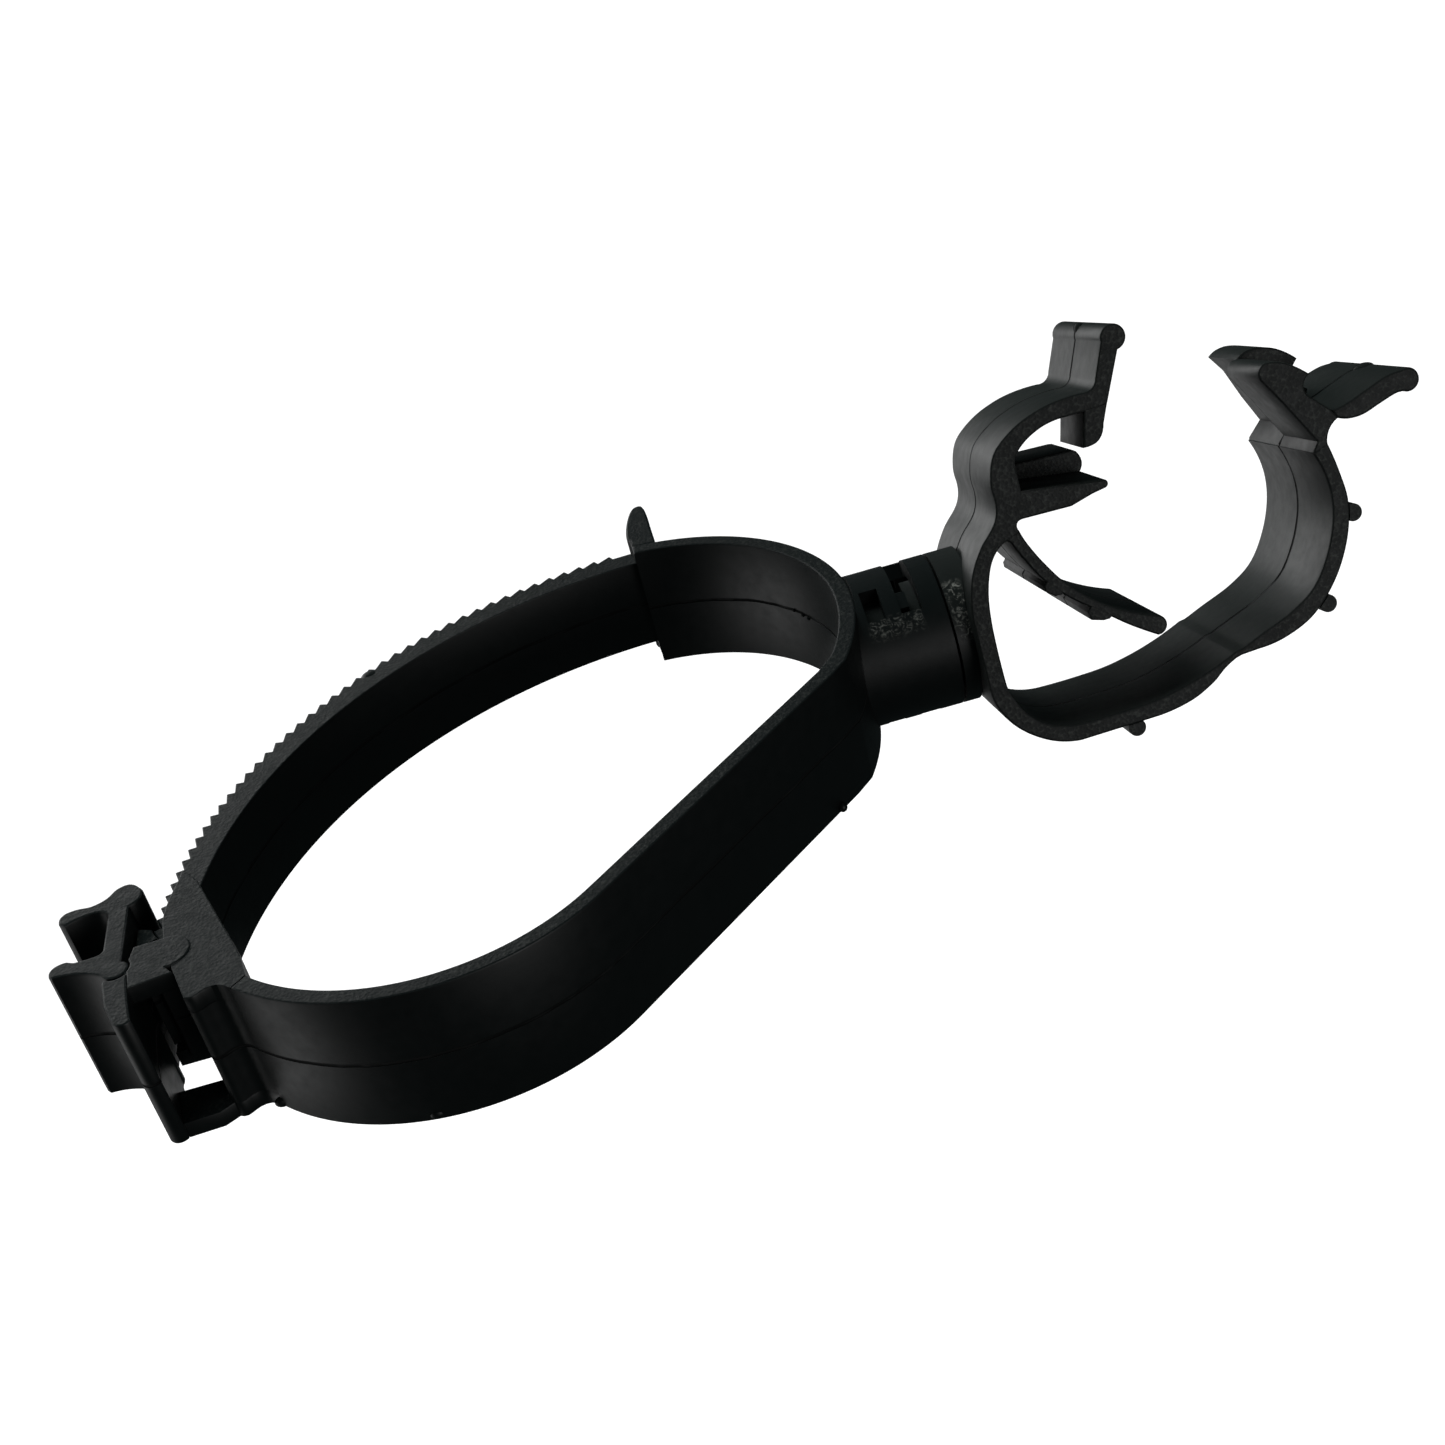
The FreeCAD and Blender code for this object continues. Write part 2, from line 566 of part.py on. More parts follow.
# the hook is stepped at mid-width: the near half passes under the catch hook, the far half above it
hook_near = slab(outline(
    (42.9, 9.8),
    [(43.7, 10.9)],
    [(40.8, 16.0)],
    [(39.0, 18.9)],
    [(38.9, 20.1), (39.9, 20.8)],
    [(41.4, 20.5), (42.8, 19.7), (44.4, 18.3)],
    [(43.5, 17.2), (44.2, 15.7)],
    [(45.9, 13.9)],
    [(46.5, 12.8)],
    [(45.3, 11.8), (44.8, 10.4)],
), 0, HALF_CLIP)
hook_far = slab(outline(
    (42.9, 9.8),
    [(44.8, 11.8)],
    [(43.2, 15.1)],
    [(41.7, 18.7)],
    [(40.3, 20.7)],
    [(41.4, 21.3), (42.9, 21.4), (45.0, 20.7), (47.1, 19.0)],
    [(46.3, 18.1)],
    [(46.6, 16.4), (47.6, 15.3)],
    [(46.5, 12.8)],
    [(45.3, 11.8), (44.8, 10.4)],
), -HALF_CLIP, 0)
tail_half_start = (46.5, 12.8)
release_tail = slab(outline(
    tail_half_start,
    [(45.9, 13.9)],
    [(47.4, 14.1), (50.0, 15.0), (52.6, 15.9), (54.4, 16.1)],
    [(54.9, 13.6)],
    [(53.6, 13.7), (51.5, 13.1), (49.3, 12.4), (47.6, 12.4), tail_half_start],
), -HALF_CLIP, HALF_CLIP).cut(hook_far)
release_bead = rod(54.9, 14.8, 1.3, -HALF_CLIP, HALF_CLIP).cut(release_tail)
jaw_ribs = [rod(x, y, KNOB_RADIUS, -HALF_CLIP, HALF_CLIP).cut(closing_jaw)
            for x, y in ((41.2, -7.0), (46.0, 2.2))]
save("closing_jaw", turned(closing_jaw))
save("hook_near", turned(hook_near))
save("hook_far", turned(hook_far))
save("release_tail", turned(release_tail))
save("release_bead", turned(release_bead))
save("jaw_ribs", turned(Part.makeCompound(jaw_ribs)))
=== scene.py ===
import math
import bmesh
import bpy
from mathutils import Matrix, Vector
from mathutils.geometry import interpolate_bezier


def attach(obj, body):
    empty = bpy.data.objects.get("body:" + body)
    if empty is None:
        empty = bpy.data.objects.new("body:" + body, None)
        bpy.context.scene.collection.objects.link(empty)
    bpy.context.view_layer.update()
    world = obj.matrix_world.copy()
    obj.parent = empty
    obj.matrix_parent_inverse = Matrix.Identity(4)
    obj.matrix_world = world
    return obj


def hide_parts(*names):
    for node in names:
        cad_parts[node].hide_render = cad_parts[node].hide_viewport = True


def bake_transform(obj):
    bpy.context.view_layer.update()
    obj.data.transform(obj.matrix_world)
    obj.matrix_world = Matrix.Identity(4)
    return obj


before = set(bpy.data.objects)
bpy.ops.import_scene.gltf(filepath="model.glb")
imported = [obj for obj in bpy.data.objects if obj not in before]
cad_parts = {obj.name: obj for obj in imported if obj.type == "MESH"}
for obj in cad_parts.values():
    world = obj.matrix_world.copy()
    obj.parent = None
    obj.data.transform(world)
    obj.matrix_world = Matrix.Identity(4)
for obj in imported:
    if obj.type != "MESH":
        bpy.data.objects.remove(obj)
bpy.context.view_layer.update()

# ---------------------------------------------------------------- camera, floor and light
# The part is held in the air above a matt white floor, and looked at from in front and above.
# Soft lamps stand behind it, low on its left and in front.  The floor neither lights the part nor
# shows in its shine, so that black plastic stays black in front of white.
camera_data = bpy.data.cameras.new("camera")
camera_data.lens = 51.26
camera_data.sensor_width = 36.0
camera_data.clip_start = 0.01
camera_data.clip_end = 20.0
camera = bpy.data.objects.new("camera", camera_data)
right = Vector((0.9619, -0.1616, -0.2206)).normalized()
ahead = Vector((0.0192, 0.8447, -0.5349)).normalized()
up = right.cross(ahead).normalized()
right = ahead.cross(up)
turn = Matrix((right, up, -ahead)).transposed().to_4x4()
camera.matrix_world = Matrix.Translation((0.01816, -0.19297, 0.12403)) @ turn
bpy.context.scene.collection.objects.link(camera)
bpy.context.scene.camera = camera
bpy.context.scene.view_settings.view_transform = "Standard"

bm = bmesh.new()
bmesh.ops.create_grid(bm, x_segments=1, y_segments=1, size=6.0)
bmesh.ops.translate(bm, verts=bm.verts, vec=(0, 0, -0.70))
floor_mesh = bpy.data.meshes.new("floor")
bm.to_mesh(floor_mesh)
bm.free()
floor = bpy.data.objects.new("floor", floor_mesh)
bpy.context.scene.collection.objects.link(floor)
paint = bpy.data.materials.new("matt_white_paint")
paint.use_nodes = True
paint.node_tree.nodes["Principled BSDF"].inputs["Base Color"].default_value = (0.95, 0.95, 0.95, 1)
paint.node_tree.nodes["Principled BSDF"].inputs["Roughness"].default_value = 1.0
paint.node_tree.nodes["Principled BSDF"].inputs["Specular IOR Level"].default_value = 0.0
floor_mesh.materials.append(paint)
floor.visible_glossy = False
floor.visible_diffuse = False

world = bpy.data.worlds.new("studio")
world.use_nodes = True
# The air that lights the part is dim.  Past the floor's edge the camera sees a pale grey.
dim = world.node_tree.nodes["Background"]
dim.inputs["Color"].default_value = (0.75, 1, 1, 1)
dim.inputs["Strength"].default_value = 0.022
pale = world.node_tree.nodes.new("ShaderNodeBackground")
seen = world.node_tree.nodes.new("ShaderNodeLightPath")
either = world.node_tree.nodes.new("ShaderNodeMixShader")
world.node_tree.links.new(seen.outputs["Is Camera Ray"], either.inputs[0])
world.node_tree.links.new(dim.outputs[0], either.inputs[1])
world.node_tree.links.new(pale.outputs[0], either.inputs[2])
world.node_tree.links.new(either.outputs[0], world.node_tree.nodes["World Output"].inputs["Surface"])
bpy.context.scene.world = world
for name, kind, place, size, power in (("daylight", "SUN", (-0.25, 0.45, 1.0), 0.6, 4.2),
                                       ("back", "AREA", (-0.5, 0.82, 0.16), 0.75, 2.9),
                                       ("low back", "AREA", (-0.1, 0.75, -0.42), 0.5, 0.4),
                                       ("left", "AREA", (-0.8, 0.0, -0.30), 0.7, 1.3),
                                       ("front", "AREA", (0.5, -0.9, 0.12), 0.5, 1.4)):
    lamp_data = bpy.data.lights.new(name, kind)
    lamp_data.energy = power
    if kind == "SUN":
        lamp_data.angle = size
    else:
        lamp_data.size = size
    lamp = bpy.data.objects.new(name, lamp_data)
    # Daylight whitens the floor and the matt part of the plastic: the shine is the soft lamps' alone.
    lamp.visible_glossy = kind == "AREA"
    lamp.visible_camera = False
    lamp.matrix_world = (Matrix.Translation(place)
                         @ (-Vector(place)).to_track_quat("-Z", "Y").to_matrix().to_4x4())
    bpy.context.scene.collection.objects.link(lamp)

# ---------------------------------------------------------------- loop band
# The strap of the loop: one strip of black polyamide, 16 mm wide and 2 mm thick, moulded with its
# parting line at mid-width.  It runs from the step beside the tail round the saddle and the long
# straight to the latch head, and flexes where the loop is tightened.
SWIVEL = Vector((50.0, 9.5))            # rim of the swivel socket, from the middle of the held pipe
CLIP_TURN = math.radians(70)            # the clip's plane is turned this far about the swivel
HALF_BAND = 8.0
BAND_THICK = 2.0


def outline(start, *runs):
    """The corners and curves of a closed outline, in mm from the rim of the swivel socket.  A run of
    one point is a straight line, of two an arc through the first, of more a smooth curve."""
    return [Vector(start)] + [[Vector(p) for p in run] for run in runs]


def traced(lines, height):
    """Draws an outline at a height, with steps of about 0.5 mm or less on its curves, and fills it."""
    bm = bmesh.new()
    pen = bm.verts.new((*lines[0], height))
    at = lines[0]
    for run in lines[1:]:
        if len(run) == 2:
            ab, ac = run[0] - at, run[1] - at
            centre = at + Vector((ab.length_squared * ac.y - ac.length_squared * ab.y,
                                  ac.length_squared * ab.x - ab.length_squared * ac.x)) / (2 * ab.cross(ac))
            first, middle, last = (math.atan2(*reversed(q - centre)) for q in (at, *run))
            sweep = (last - first) % math.tau
            if (middle - first) % math.tau > sweep:
                sweep -= math.tau
            radius = (at - centre).length
            steps = max(4, int(abs(sweep) * min(max(2 * radius, 6), 8 * radius)))
            spun = bmesh.ops.spin(bm, geom=[pen], cent=(*centre, height), axis=(0, 0, 1), angle=sweep,
                                  steps=steps, use_merge=False)
            pen = [g for g in spun["geom_last"] if isinstance(g, bmesh.types.BMVert)][0]
        else:
            stops = run
            if len(run) > 2:
                pts = [at] + run
                gap = [(q - p).length for p, q in zip(pts, pts[1:])]
                slope = [(pts[i + 1] - pts[i - 1]) / (gap[i - 1] + gap[i]) for i in range(1, len(run))]
                slope = [2 * (pts[1] - pts[0]) / gap[0] - slope[0], *slope,
                         2 * (pts[-1] - pts[-2]) / gap[-1] - slope[-1]]
                stops = []
                for i, g in enumerate(gap):
                    knots = (pts[i], pts[i] + slope[i] * g / 3, pts[i + 1] - slope[i + 1] * g / 3, pts[i + 1])
                    stops += [q.to_2d() for q in
                              interpolate_bezier(*[k.to_3d() for k in knots], max(3, int(g / 0.4) + 1))[1:]]
            for stop in stops:
                pen = bmesh.ops.extrude_vert_indiv(bm, verts=[pen])["verts"][0]
                pen.co = (*stop, height)
        at = pen.co.to_2d()
    bmesh.ops.remove_doubles(bm, verts=bm.verts, dist=1e-3)
    bmesh.ops.contextual_create(bm, geom=[v for v in bm.verts if len(v.link_edges) == 1])
    bmesh.ops.contextual_create(bm, geom=bm.edges[:])
    return bm


def pull(name, lines, low, high, body, material, rim=0.22, turned=False, plain=()):
    """A piece pulled from its outline between two heights.  Its rims are rounded, apart from those
    near the points in plain, where it runs on into its neighbour."""
    bm = traced(lines, low)
    top = bmesh.ops.extrude_face_region(bm, geom=bm.faces[:], use_keep_orig=True)
    lifted = [v for v in top["geom"] if isinstance(v, bmesh.types.BMVert)]
    bmesh.ops.translate(bm, verts=lifted, vec=(0, 0, high - low))
    bmesh.ops.recalc_face_normals(bm, faces=bm.faces)
    if rim > 0:
        edges = [e for e in bm.edges if abs(e.verts[0].co.z - e.verts[1].co.z) < 1e-6
                 and not any(((e.verts[0].co + e.verts[1].co).to_2d() / 2 - Vector(q[:2])).length < q[2]
                             for q in plain)]
        bmesh.ops.bevel(bm, geom=edges, offset=rim, segments=2, profile=0.5, affect="EDGES",
                        material=-1, clamp_overlap=False)
    if turned:
        bmesh.ops.rotate(bm, verts=bm.verts, cent=(0, 0, 0), matrix=Matrix.Rotation(CLIP_TURN, 3, "X"))
    bmesh.ops.translate(bm, verts=bm.verts, vec=(*SWIVEL, 0))
    bmesh.ops.scale(bm, verts=bm.verts, vec=(0.001, 0.001, 0.001))
    return finished(bm, name, body, material)


def finished(bm, name, body, material):
    """Makes the piece: walls smooth, flat faces and sharp corners kept, and rides it on its body."""
    for f in bm.faces:
        f.smooth = len(f.verts) <= 4
    for e in bm.edges:
        e.smooth = len(e.link_faces) == 2 and e.calc_face_angle(0) < math.radians(33)
    mesh = bpy.data.meshes.new(name)
    bm.to_mesh(mesh)
    bm.free()
    piece = bpy.data.objects.new(name, mesh)
    bpy.context.scene.collection.objects.link(piece)
    mesh.materials.append(material)
    if body:
        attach(piece, body)
    return piece


def linear(code):
    """sRGB hex to a linear colour."""
    parts = [int(code[i:i + 2], 16) / 255 for i in (1, 3, 5)]
    return [c / 12.92 if c < 0.04045 else ((c + 0.055) / 1.055) ** 2.4 for c in parts] + [1]


def node(tree, kind, links=(), **settings):
    """Adds a node: settings are its own options, links the values or sources of its inputs."""
    made = tree.nodes.new(kind)
    for key, value in settings.items():
        setattr(made, key, value)
    for key, value in dict(links).items():
        if isinstance(value, bpy.types.NodeSocket):
            tree.links.new(value, made.inputs[key])
        else:
            made.inputs[key].default_value = value
    return made


def polyamide(name, dark, light, rough, width_axis, mid, painted_glint, seam_width, scuffs=None):
    """Black moulded polyamide: walls along the pull are satin with faint flow marks, faces across it
    have the even grain of a spark-eroded tool, and the two halves of the mould leave a fine dark
    parting line at mid-width.  Handling leaves pale scuffs."""
    material = bpy.data.materials.new(name)
    material.use_nodes = True
    tree = material.node_tree
    shader = tree.nodes["Principled BSDF"]
    place = node(tree, "ShaderNodeTexCoord")
    across = node(tree, "ShaderNodeVectorMath", {0: place.outputs["Normal"], 1: width_axis},
                  operation="DOT_PRODUCT")
    across = node(tree, "ShaderNodeMath", {0: across.outputs["Value"]}, operation="ABSOLUTE")
    side = node(tree, "ShaderNodeMapRange", {"Value": across.outputs[0], "From Min": 0.80, "From Max": 0.97})
    wall = node(tree, "ShaderNodeMath", {0: 1.0, 1: side.outputs[0]}, operation="SUBTRACT")
    # The parting line wanders by a tenth of a millimetre, and fades in places.
    height = node(tree, "ShaderNodeVectorMath", {0: place.outputs["Object"], 1: width_axis},
                  operation="DOT_PRODUCT")
    wander = node(tree, "ShaderNodeTexNoise", {"Vector": place.outputs["Object"], "Scale": 240.0,
                                               "Detail": 2.0})
    drift = node(tree, "ShaderNodeMapRange", {"Value": wander.outputs[0], "To Min": mid - 0.0002,
                                              "To Max": mid + 0.0002})
    height = node(tree, "ShaderNodeMath", {0: height.outputs["Value"], 1: drift.outputs[0]},
                  operation="SUBTRACT")
    height = node(tree, "ShaderNodeMath", {0: height.outputs[0]}, operation="ABSOLUTE")
    seam = node(tree, "ShaderNodeMapRange", {"Value": height.outputs[0], "From Min": seam_width * 0.3,
                                             "From Max": seam_width * 0.7, "To Min": 1.0, "To Max": 0.0})
    faded = node(tree, "ShaderNodeMapRange", {"Value": wander.outputs[0], "From Min": 0.36, "From Max": 0.52,
                                              "To Min": 0.5, "To Max": 1.0})
    seam = node(tree, "ShaderNodeMath", {0: seam.outputs[0], 1: faded.outputs[0]}, operation="MULTIPLY")
    seam = node(tree, "ShaderNodeMath", {0: seam.outputs[0], 1: wall.outputs[0]}, operation="MULTIPLY")
    # The spark-eroded grain is drawn about 0.3 mm across.
    grain = node(tree, "ShaderNodeTexNoise", {"Vector": place.outputs["Object"], "Scale": 3300.0,
                                              "Detail": 3.0, "Roughness": 0.65})
    pits = node(tree, "ShaderNodeTexVoronoi", {"Vector": place.outputs["Object"], "Scale": 2600.0})
    grain = node(tree, "ShaderNodeMath", {0: grain.outputs[0], 1: pits.outputs["Distance"]}, operation="ADD")
    grain = node(tree, "ShaderNodeMath", {0: grain.outputs[0], 1: side.outputs[0]}, operation="MULTIPLY")
    # Flow marks are drawn about 1.5 mm apart.
    flow = node(tree, "ShaderNodeTexNoise", {"Vector": place.outputs["Object"], "Scale": 650.0,
                                             "Detail": 4.0, "Roughness": 0.6})
    relief = node(tree, "ShaderNodeMath", {0: flow.outputs[0], 1: 0.3, 2: grain.outputs[0]},
                  operation="MULTIPLY_ADD")
    bump = node(tree, "ShaderNodeBump", {"Height": relief.outputs[0], "Strength": 0.5, "Distance": 0.00007})
    groove = node(tree, "ShaderNodeBump", {"Height": seam.outputs[0], "Strength": 1.0, "Distance": 0.00025,
                                           "Normal": bump.outputs[0]}, invert=True)
    cloud = node(tree, "ShaderNodeTexNoise", {"Vector": place.outputs["Object"], "Scale": 90.0,
                                              "Detail": 5.0})
    colour = node(tree, "ShaderNodeMix", {"Factor": cloud.outputs[0], 6: linear(dark), 7: linear(light)},
                  data_type="RGBA")
    # Painted highlight: the tips of the grain are painted paler, standing in for the glints where they catch
    # the light.
    painted_glint_mask = node(tree, "ShaderNodeMapRange", {"Value": grain.outputs[0], "From Min": 1.05, "From Max": 1.45,
                                              "To Max": painted_glint})
    colour = node(tree, "ShaderNodeMix", {"Factor": painted_glint_mask.outputs[0], 6: colour.outputs[2],
                                          7: linear("#7A7E78")}, data_type="RGBA")
    shade = node(tree, "ShaderNodeMapRange", {"Value": seam.outputs[0], "To Min": 1.0, "To Max": 0.1})
    colour = node(tree, "ShaderNodeMix", {"Factor": 1.0, 6: colour.outputs[2], 7: shade.outputs[0]},
                  data_type="RGBA", blend_type="MULTIPLY")
    gloss = node(tree, "ShaderNodeMapRange", {"Value": flow.outputs[0], "From Min": 0.3, "From Max": 0.7,
                                              "To Min": rough - 0.04, "To Max": rough + 0.06})
    gloss = node(tree, "ShaderNodeMath", {0: side.outputs[0], 1: 0.12, 2: gloss.outputs[0]},
                 operation="MULTIPLY_ADD")
    gloss = node(tree, "ShaderNodeMath", {0: seam.outputs[0], 1: 0.5, 2: gloss.outputs[0]},
                 operation="MULTIPLY_ADD", use_clamp=True)
    if scuffs:
        # Pale scribbled scuffs about 0.8 mm apart lie over one band of the round surface.
        near_end, far_end, from_angle, to_angle, amount = scuffs
        about = node(tree, "ShaderNodeMapping", {"Vector": place.outputs["Object"],
                                                 "Location": (0, -SWIVEL.y / 1000, 0)})
        about = node(tree, "ShaderNodeSeparateXYZ", {0: about.outputs[0]})
        angle = node(tree, "ShaderNodeMath", {0: about.outputs[2], 1: about.outputs[1]}, operation="ARCTAN2")
        zone = None
        for value, low, high, soft in ((about.outputs[0], near_end / 1000, far_end / 1000, 0.0006),
                                       (angle.outputs[0], math.radians(from_angle),
                                        math.radians(to_angle), 0.12)):
            for edge, other in ((low, low + soft), (high, high - soft)):
                part = node(tree, "ShaderNodeMapRange", {"Value": value, "From Min": edge, "From Max": other})
                zone = part if zone is None else node(tree, "ShaderNodeMath", {0: zone.outputs[0],
                                                      1: part.outputs[0]}, operation="MULTIPLY")
        strokes = node(tree, "ShaderNodeTexNoise", {"Vector": place.outputs["Object"], "Scale": 1300.0,
                                                    "Detail": 6.0, "Roughness": 0.7, "Distortion": 1.6})
        strokes = node(tree, "ShaderNodeMapRange", {"Value": strokes.outputs[0], "From Min": 0.50,
                                                    "From Max": 0.62, "To Max": amount})
        worn = node(tree, "ShaderNodeMath", {0: strokes.outputs[0], 1: zone.outputs[0]}, operation="MULTIPLY")
        colour = node(tree, "ShaderNodeMix", {"Factor": worn.outputs[0], 6: colour.outputs[2],
                                              7: linear("#8E918B")}, data_type="RGBA")
    tree.links.new(colour.outputs[2], shader.inputs["Base Color"])
    tree.links.new(gloss.outputs[0], shader.inputs["Roughness"])
    tree.links.new(groove.outputs[0], shader.inputs["Normal"])
    shader.inputs["IOR"].default_value = 1.53
    return material


loop_black = polyamide("black_polyamide_loop", "#0A0E0E", "#0F1313", 0.44, (0, 0, 1), 0.0, 0.05, 0.0003)

SHOULDER, SHOULDER_BEND = Vector((-34.2, 1.0)), 22.9
SADDLE, SADDLE_BEND = Vector((-41.3, 1.0)), 30.0
CRADLE, CRADLE_BEND = Vector((-61.2, -23.5)), 24.0
CRADLE_START, CRADLE_END = 312.92, 222
STEP_BACK = 2.4                         # the step where the tail begins, from the shoulder's centre


def polar(centre, radius, angle):
    """The point at a radius and an angle in degrees from a centre."""
    return centre + radius * Vector((math.cos(math.radians(angle)), math.sin(math.radians(angle))))


foot = Vector((-16.3, -14.5))
run = (polar(CRADLE, CRADLE_BEND, CRADLE_START) - foot).normalized()
out = Vector((-run.y, run.x))
band_end = polar(CRADLE, CRADLE_BEND, CRADLE_END)
band_end_outer = polar(CRADLE, CRADLE_BEND + BAND_THICK, CRADLE_END)
step_in = math.degrees(math.acos(STEP_BACK / SHOULDER_BEND))
step_out = math.degrees(math.acos(STEP_BACK / (SHOULDER_BEND + BAND_THICK)))
band = pull("loop_band", outline(
    polar(SHOULDER, SHOULDER_BEND, step_in),
    [polar(SHOULDER, SHOULDER_BEND, 42), polar(SHOULDER, SHOULDER_BEND, 0)],
    [polar(SADDLE, SADDLE_BEND, -13), polar(SADDLE, SADDLE_BEND, -26)],
    [foot],
    [polar(CRADLE, CRADLE_BEND, CRADLE_START)],
    [polar(CRADLE, CRADLE_BEND, 267), band_end],
    [band_end_outer],
    [polar(CRADLE, CRADLE_BEND + BAND_THICK, 267), polar(CRADLE, CRADLE_BEND + BAND_THICK, CRADLE_START)],
    [foot + out * BAND_THICK],
    [polar(SADDLE, SADDLE_BEND + BAND_THICK, -27.5)],
    [polar(SADDLE, SADDLE_BEND + BAND_THICK, -13), polar(SADDLE, SADDLE_BEND + BAND_THICK, 0)],
    [polar(SHOULDER, SHOULDER_BEND + BAND_THICK, 42), polar(SHOULDER, SHOULDER_BEND + BAND_THICK, step_out)],
), -HALF_BAND, HALF_BAND, None, loop_black)
# The long straight is cut across, so that it can bend where the loop is tightened.
bm = bmesh.new()
bm.from_mesh(band.data)
long_edges = [e for e in bm.edges
              if e.calc_length() > 0.004 and abs(e.verts[0].co.z - e.verts[1].co.z) < 0.001]
bmesh.ops.subdivide_edges(bm, edges=long_edges, cuts=24)
bm.to_mesh(band.data)
bm.free()
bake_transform(band)
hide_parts("upper_band", "strap_saddle", "lower_band")

# ---------------------------------------------------------------- toothed tail
# The free end of the strap, narrower than the band so that it passes through the latch head.
# Its outer face carries saw teeth at 2 mm pitch, moulded with slightly rounded tips.
TAIL, TAIL_BEND = Vector((-31.5, -29.7)), 55.0
TOOTH_ROOT, TOOTH_TIP = 58.0, 58.9
TEETH = 46
FIRST_TOOTH = 93.3                      # degrees round the tail's centre
STEEP_FLANK = 0.33                      # degrees that the steep side of a tooth takes up
HALF_TAIL = 5.8
pitch = math.degrees(2.0 / TOOTH_TIP)
tail_end = FIRST_TOOTH + TEETH * pitch
tail_runs = [[polar(TAIL, TOOTH_ROOT, FIRST_TOOTH - STEEP_FLANK)]]
for k in range(TEETH):
    angle = FIRST_TOOTH + k * pitch
    low = angle + pitch - (0.0 if k == TEETH - 1 else STEEP_FLANK)
    for radius, along in ((TOOTH_TIP - 0.18, angle - 0.06), (TOOTH_TIP - 0.02, angle + 0.05),
                          (TOOTH_TIP - 0.14, angle + 0.26), (TOOTH_ROOT + 0.07, low - 0.10),
                          (TOOTH_ROOT + 0.03, low)):
        tail_runs.append([polar(TAIL, radius, along)])
tail_runs.append([polar(TAIL, TAIL_BEND + 0.5, tail_end - 0.1)])
tail_runs.append([polar(TAIL, TAIL_BEND, tail_end - 0.7)])
tail_runs.append([polar(TAIL, TAIL_BEND, 136),
                  polar(TAIL, TAIL_BEND, math.degrees(math.acos(-0.3 / TAIL_BEND)))])
tail = pull("toothed_tail_strip",
            outline(polar(TAIL, TOOTH_ROOT, math.degrees(math.acos(-0.3 / TOOTH_ROOT))), *tail_runs),
            -HALF_TAIL, HALF_TAIL, "strap", loop_black, rim=0.16)
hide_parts("toothed_tail")

# ---------------------------------------------------------------- closing tab
# A thumb lug of the same black polyamide across the full width, moulded standing on the end of the
# band beside the step.  Its top is rounded.
tab_root = SHOULDER_BEND + BAND_THICK - 0.2
tab_top = 36.38
tab = pull("thumb_tab", outline(
    polar(SHOULDER, tab_root, step_out),
    [polar(SHOULDER, tab_root, 81)],
    [polar(SHOULDER, tab_root, 77.5)],
    [(-28.9, tab_top - 6.0)],
    [(-28.98, tab_top - 1.5), (-29.25, tab_top - 0.25), (-29.75, tab_top), (-30.45, tab_top - 0.35),
     (-31.25, tab_top - 2.2), (-31.95, tab_top - 5.3), (-32.2, tab_top - 8.4), (-31.9, 27.2)],
), -HALF_BAND, HALF_BAND, "strap", loop_black, rim=0.3)
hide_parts("closing_tab")

# ---------------------------------------------------------------- latch head
# The head is moulded in one with the band: a guide under the tail, a cheek on each side of it, and
# bridges that are staggered between the two halves of the mould, so that each pulls free.
HALF_SLOT = 6.05
SLOT_FLOOR, SLOT_ROOF = 54.75, 60.0     # radii of the slot that the tail slides in
corner = (-79.75, -35.8)
foot_line = [(-81.9, -39.8), (-83.0, -39.9), (-84.3, -40.7)]


def on_slot(radius, y):
    """The point of a circle round the tail's centre at a height, on the head's side."""
    return (TAIL.x - math.sqrt(radius ** 2 - (y - TAIL.y) ** 2), y)


guide = pull("tail_guide", outline(
    on_slot(SLOT_FLOOR, -23.0),
    [(-84.1, -23.0)],
    [corner],
    [band_end],
    [band_end_outer],
    foot_line + [on_slot(SLOT_FLOOR, -40.4)],
    [on_slot(SLOT_FLOOR, -31.5), on_slot(SLOT_FLOOR, -23.0)],
), -HALF_SLOT - 0.05, HALF_SLOT + 0.05, "latch", loop_black, rim=0)
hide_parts("head_anvil")
cheek_outline = outline(
    (-86.7, -18.0),
    [(-84.9, -20.7)],
    [corner],
    [band_end],
    [band_end_outer],
    foot_line + [(-85.2, -40.4)],
    [(-86.5, -35.9)],
    [(-88.0, -29.3)],
    [(-88.3, -26.5)],
    [(-87.9, -23.2), (-87.0, -19.7), (-86.7, -18.0)],
)
# The near cheek runs on into the band and the bridge without a rounded rim.
joins = ((-79.4, -38.5, 3.2), (-86.0, -33.0, 3.4))
near = pull("near_cheek_plate", cheek_outline, HALF_SLOT, HALF_BAND, "latch", loop_black, rim=0.15,
            plain=joins)
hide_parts("near_cheek")
far = pull("far_cheek_plate", cheek_outline, -HALF_BAND, -HALF_SLOT, "latch", loop_black, rim=0.15)
pull("far_sill", outline(
    (-86.9, -36.3),
    [on_slot(SLOT_ROOF, -36.3)],
    [on_slot(SLOT_ROOF, -39), on_slot(SLOT_ROOF, -41.5)],
    [(-86.6, -41.3)],
    [(-85.0, -40.4)],
    [(-85.8, -36.3)],
), -HALF_BAND + 0.02, -HALF_SLOT - 0.01, "latch", loop_black, rim=0.12)
pull("far_plate", outline(
    (-91.85, -22.6),
    [(-91.85, -29.9)],
    [(-86.9, -29.9)],
    [(-86.9, -20.6)],
), -HALF_BAND + 0.02, -HALF_SLOT - 0.01, "latch", loop_black, rim=0.12)
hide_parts("far_cheek")
